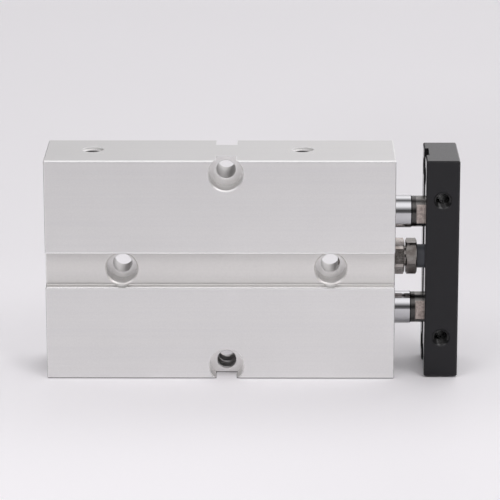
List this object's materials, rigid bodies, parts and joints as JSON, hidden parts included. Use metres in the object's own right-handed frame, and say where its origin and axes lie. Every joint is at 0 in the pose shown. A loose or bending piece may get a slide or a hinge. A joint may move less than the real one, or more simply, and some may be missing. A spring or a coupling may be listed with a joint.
{
  "type": "pneumatic cylinder",
  "caption": "Twin-rod pneumatic cylinder: flat aluminium body with side-by-side bores, an end plate on both rods, and an adjustable stop between them.",
  "frame": {"origin": "crossing of the line through the two middle mounting holes and the line through the upper and lower ones, at mid-thickness of the body", "axes": "+X along the rods towards the end plate, +Z towards the air ports, +Y through the thickness, away from the viewer of the picture"},
  "size_m": [0.0987, 0.021, 0.054],
  "materials": {
    "body_anodised": "fine bead-blasted, clear anodised",
    "plate_anodised": "black anodised, satin",
    "turned_aluminium": "turned",
    "bronze": "sintered",
    "rubber": "smooth",
    "spring_steel": "phosphated",
    "stop_steel": "dark plated",
    "pad_rubber": "matte grey",
    "screw_steel": "black oxide",
    "rod_chrome": "ground and hard chromed",
    "wear_plastic": "moulded",
    "plated_steel": "zinc plated",
    "magnet": "bonded magnet"
  },
  "bodies": {
    "body": {"body_housing": "body_anodised", "rod_cover_upper": "turned_aluminium", "rod_cover_lower": "turned_aluminium", "rod_bush_upper": "bronze", "rod_bush_lower": "bronze", "rod_seal_upper": "rubber", "rod_seal_lower": "rubber", "cover_o_ring_upper": "rubber", "cover_o_ring_lower": "rubber", "front_retaining_ring_upper": "spring_steel", "front_retaining_ring_lower": "spring_steel", "rear_cap_upper": "turned_aluminium", "rear_cap_lower": "turned_aluminium", "rear_bumper_upper": "rubber", "rear_bumper_lower": "rubber", "rear_cap_o_ring_upper": "rubber", "rear_cap_o_ring_lower": "rubber", "rear_retaining_ring_upper": "spring_steel", "rear_retaining_ring_lower": "spring_steel", "stop_bolt": "stop_steel", "stop_lock_nut": "stop_steel", "stop_pad": "pad_rubber"},
    "slide": {"end_plate": "plate_anodised", "plate_screws": "screw_steel", "piston_rod_upper": "rod_chrome", "piston_rod_lower": "rod_chrome", "piston_upper": "turned_aluminium", "piston_lower": "turned_aluminium", "piston_seal_upper": "rubber", "piston_seal_lower": "rubber", "wear_ring_upper": "wear_plastic", "wear_ring_lower": "wear_plastic", "piston_bumper_upper": "rubber", "piston_bumper_lower": "rubber", "piston_nut_upper": "plated_steel", "piston_nut_lower": "plated_steel", "magnet_ring": "magnet"}
  },
  "joints": [
    {"name": "rod_slide", "type": "slide", "parent": "body", "child": "slide", "axis": [1, 0, 0], "range_m": [0, 0.03]}
  ]
}
